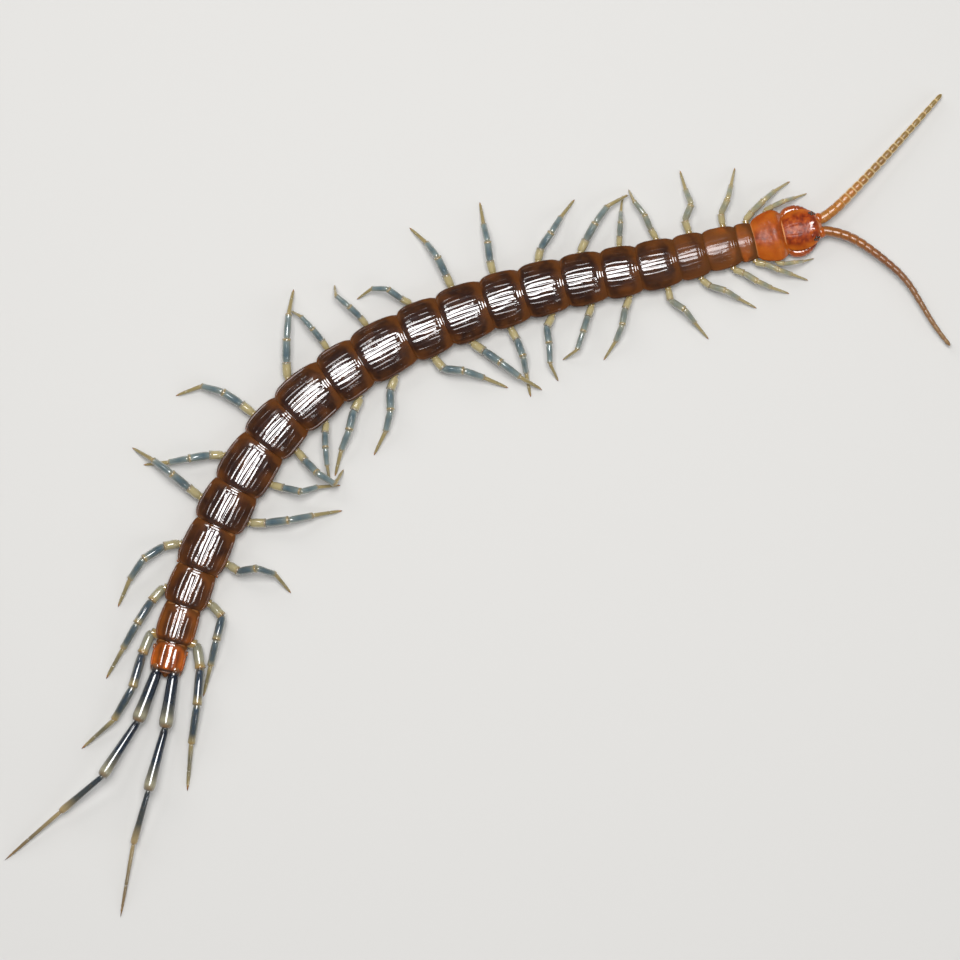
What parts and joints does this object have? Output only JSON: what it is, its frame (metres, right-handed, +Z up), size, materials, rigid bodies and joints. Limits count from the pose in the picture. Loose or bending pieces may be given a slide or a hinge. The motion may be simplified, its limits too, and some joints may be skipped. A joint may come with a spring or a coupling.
{
  "type": "giant centipede",
  "caption": "Life-size model of a giant centipede: keeled brown back plates, orange head, beaded antennae and slender blue-grey jointed legs, in a curved crawling pose.",
  "frame": {"origin": "middle of the bounding box, on the floor plane that the feet touch", "axes": "+Z up, +X and +Y in the floor: the head points towards +X and the tail trails towards -X and -Y"},
  "size_m": [0.1133, 0.0989, 0.0039],
  "materials": {
    "plate": "glossy dark red-brown cuticle with fine keels along each plate",
    "head": "glossy orange-red cuticle, finely pitted",
    "claw": "hard glossy dark orange",
    "feeler": "orange to olive-tan, satin, beaded",
    "leg": "glossy, thin, blue-grey with cream and tan joints",
    "last_leg": "glossy navy-black with pale joint ends"
  },
  "bodies": {
    "root": {"head": "head", "first_plate": "head", "trunk_2_to_4": "plate", "trunk_5_to_7": "plate", "trunk_8_to_10": "plate", "trunk_11_to_13": "plate", "trunk_14_to_16": "plate", "trunk_17_to_19": "plate", "trunk_20_to_21": "plate", "poison_claw_left": "claw", "antenna_left": "feeler", "leg_left_01": "leg", "leg_left_02": "leg", "leg_left_03": "leg", "leg_left_04": "leg", "leg_left_05": "leg", "leg_left_06": "leg", "leg_left_07": "leg", "leg_left_08": "leg", "leg_left_09": "leg", "leg_left_10": "leg", "leg_left_11": "leg", "leg_left_12": "leg", "leg_left_13": "leg", "leg_left_14": "leg", "leg_left_15": "leg", "leg_left_16": "leg", "leg_left_17": "leg", "leg_left_18": "leg", "leg_left_19": "leg", "leg_left_20": "leg", "leg_left_21": "last_leg", "poison_claw_right": "claw", "antenna_right": "feeler", "leg_right_01": "leg", "leg_right_02": "leg", "leg_right_03": "leg", "leg_right_04": "leg", "leg_right_05": "leg", "leg_right_06": "leg", "leg_right_07": "leg", "leg_right_08": "leg", "leg_right_09": "leg", "leg_right_10": "leg", "leg_right_11": "leg", "leg_right_12": "leg", "leg_right_13": "leg", "leg_right_14": "leg", "leg_right_15": "leg", "leg_right_16": "leg", "leg_right_17": "leg", "leg_right_18": "leg", "leg_right_19": "leg", "leg_right_20": "leg", "leg_right_21": "last_leg"}
  },
  "joints": []
}
